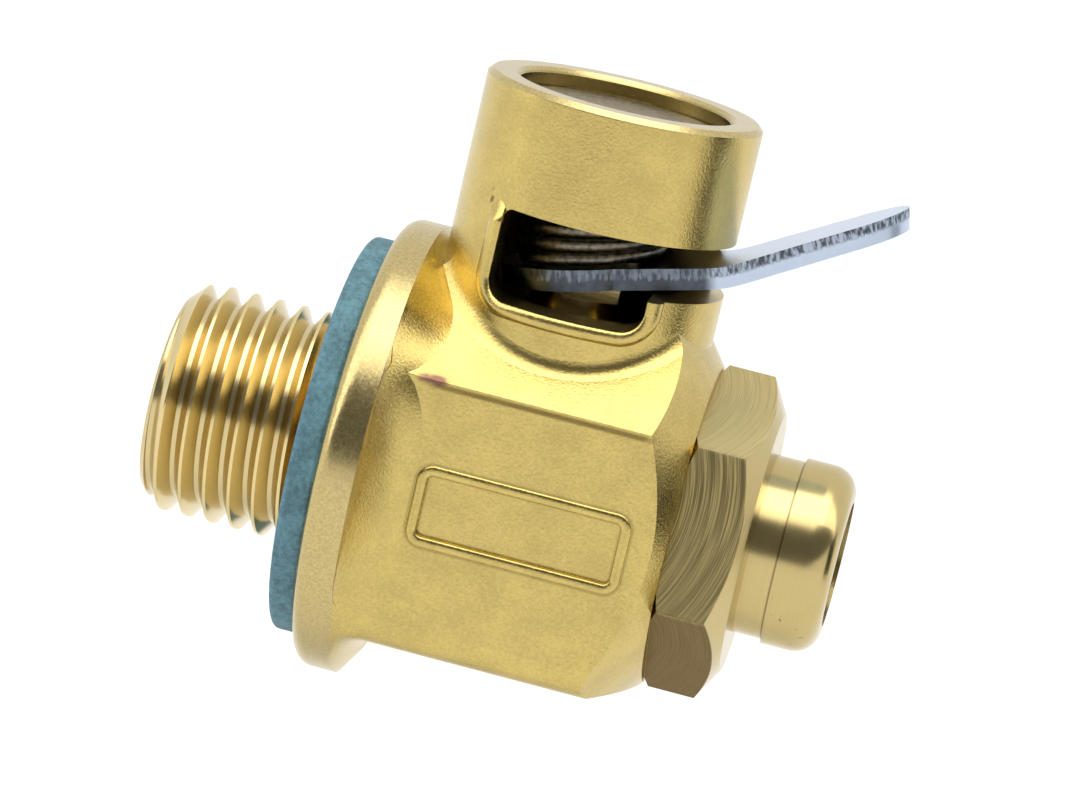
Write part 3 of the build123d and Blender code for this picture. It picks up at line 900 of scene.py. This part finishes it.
def floor_paint(studio):
    """White floor that keeps the shadow and is lifted to white where it is seen or mirrored."""
    made = bpy.data.materials.new("floor_paint")
    made.use_nodes = True
    made.node_tree.nodes.clear()
    start = Wire(made.node_tree)
    seen, mirrored = looked_at(start)
    lift = seen.maths("MAXIMUM", seen, mirrored) * studio.lift
    matt = start.node("ShaderNodeBsdfDiffuse", {"Color": shade(studio.floor)})
    glow = start.node("ShaderNodeEmission", {"Color": WHITE, "Strength": lift})
    surface = start.node("ShaderNodeAddShader", {0: matt, 1: glow})
    start.node("ShaderNodeOutputMaterial", {"Surface": surface})
    return made


def card_paint():
    """Dark card that only the metal mirrors: the camera and the light go through it."""
    made = bpy.data.materials.new("card_paint")
    made.use_nodes = True
    made.node_tree.nodes.clear()
    start = Wire(made.node_tree)
    mirrored = start.node("ShaderNodeLightPath", output="Is Glossy Ray")
    dark = start.node("ShaderNodeBsdfDiffuse", {"Color": CARD_DARK})
    clear = start.node("ShaderNodeBsdfTransparent")
    surface = start.node("ShaderNodeMixShader", {0: mirrored, 1: clear, 2: dark})
    start.node("ShaderNodeOutputMaterial", {"Surface": surface})
    return made


class VALVE_OT_studio(bpy.types.Operator):
    """Sets the floor, the light, a dark card at the right and the camera."""

    bl_idname = "valve.studio"
    bl_label = "Studio"

    def execute(self, context):
        scene = context.scene
        studio = scene.drain_valve.studio
        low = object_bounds()[0]
        height = low.z - studio.floor_drop
        mesh = bpy.data.meshes.new("floor")
        signs = ((-1, -1), (1, -1), (1, 1), (-1, 1))
        mesh.from_pydata([(x * FLOOR_HALF, y * FLOOR_HALF, height) for x, y in signs], [], [(0, 1, 2, 3)])
        mesh.materials.append(floor_paint(studio))
        floor = bpy.data.objects.new("floor", mesh)
        scene.collection.objects.link(floor)
        floor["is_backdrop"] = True
        back, right, top = view_axes()
        bearing = math.radians(VIEW_TURN)
        away = Vector((math.cos(bearing), math.sin(bearing), 0.0))
        beside = Vector((-away.y, away.x, 0.0))
        foot = away * CARD_AWAY + Vector((TOWER_X * MM, 0.0, height + CARD_LIFT))
        sides = [foot + beside * reach + Vector((0.0, 0.0, rise)) for reach, rise in CARD]
        mesh = bpy.data.meshes.new("card")
        mesh.from_pydata(sides, [], [(0, 1, 2, 3)])
        mesh.materials.append(card_paint())
        card = bpy.data.objects.new("card", mesh)
        scene.collection.objects.link(card)
        card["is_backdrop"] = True
        scene.world = studio_world(studio)
        lamp = bpy.data.lights.new("overhead", "AREA")
        lamp.size = LAMP_SIZE
        lamp.energy = LAMP_POWER
        overhead = bpy.data.objects.new("overhead", lamp)
        overhead.location = LAMP_PLACE
        overhead.rotation_euler = (math.radians(LAMP_TILT), 0.0, 0.0)
        scene.collection.objects.link(overhead)
        camera = bpy.data.objects.new("camera", bpy.data.cameras.new("camera"))
        camera.data.lens = VIEW_LENS
        camera.data.sensor_width = SENSOR_WIDTH
        camera.data.clip_start = NEAREST_SEEN
        target = Vector(VIEW_TARGET) * MM
        turned = Matrix((right, top, back)).transposed().to_4x4()
        camera.matrix_world = Matrix.Translation(target + back * VIEW_DISTANCE * MM) @ turned
        scene.collection.objects.link(camera)
        scene.camera = camera
        scene.view_settings.view_transform = "Standard"
        return {"FINISHED"}


class VALVE_PT_panel(bpy.types.Panel):
    """Sizes, colours and buttons of the valve."""

    bl_label = "Oil drain valve"
    bl_idname = "VALVE_PT_panel"
    bl_space_type = "VIEW_3D"
    bl_region_type = "UI"
    bl_category = "Valve"

    def draw(self, context):
        settings = context.scene.drain_valve
        for group in (settings.beads, settings.dish, settings.spring, settings.colours, settings.studio):
            box = self.layout.box()
            for name in group.bl_rna.properties.keys():
                if name not in ("rna_type", "name"):
                    box.prop(group, name)
        for step in STEPS:
            self.layout.operator(step.bl_idname)


GROUPS = (BeadSizes, DishSizes, SpringSizes, FinishColours, StudioSettings, ValveSettings)
STEPS = (
    VALVE_OT_forged_body,
    VALVE_OT_dish,
    VALVE_OT_nut,
    VALVE_OT_lever,
    VALVE_OT_spring,
    VALVE_OT_small_parts,
    VALVE_OT_studio,
)


def register():
    for made in GROUPS + STEPS + (VALVE_PT_panel,):
        bpy.utils.register_class(made)
    bpy.types.Scene.drain_valve = bpy.props.PointerProperty(type=ValveSettings)


def unregister():
    del bpy.types.Scene.drain_valve
    for made in reversed(GROUPS + STEPS + (VALVE_PT_panel,)):
        bpy.utils.unregister_class(made)


def main():
    """Builds every piece."""
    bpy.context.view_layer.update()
    register()
    bpy.ops.valve.forged_body()
    bpy.ops.valve.dish()
    bpy.ops.valve.nut()
    bpy.ops.valve.lever()
    bpy.ops.valve.spring()
    bpy.ops.valve.small_parts()
    bpy.ops.valve.studio()


if __name__ == "__main__":
    main()
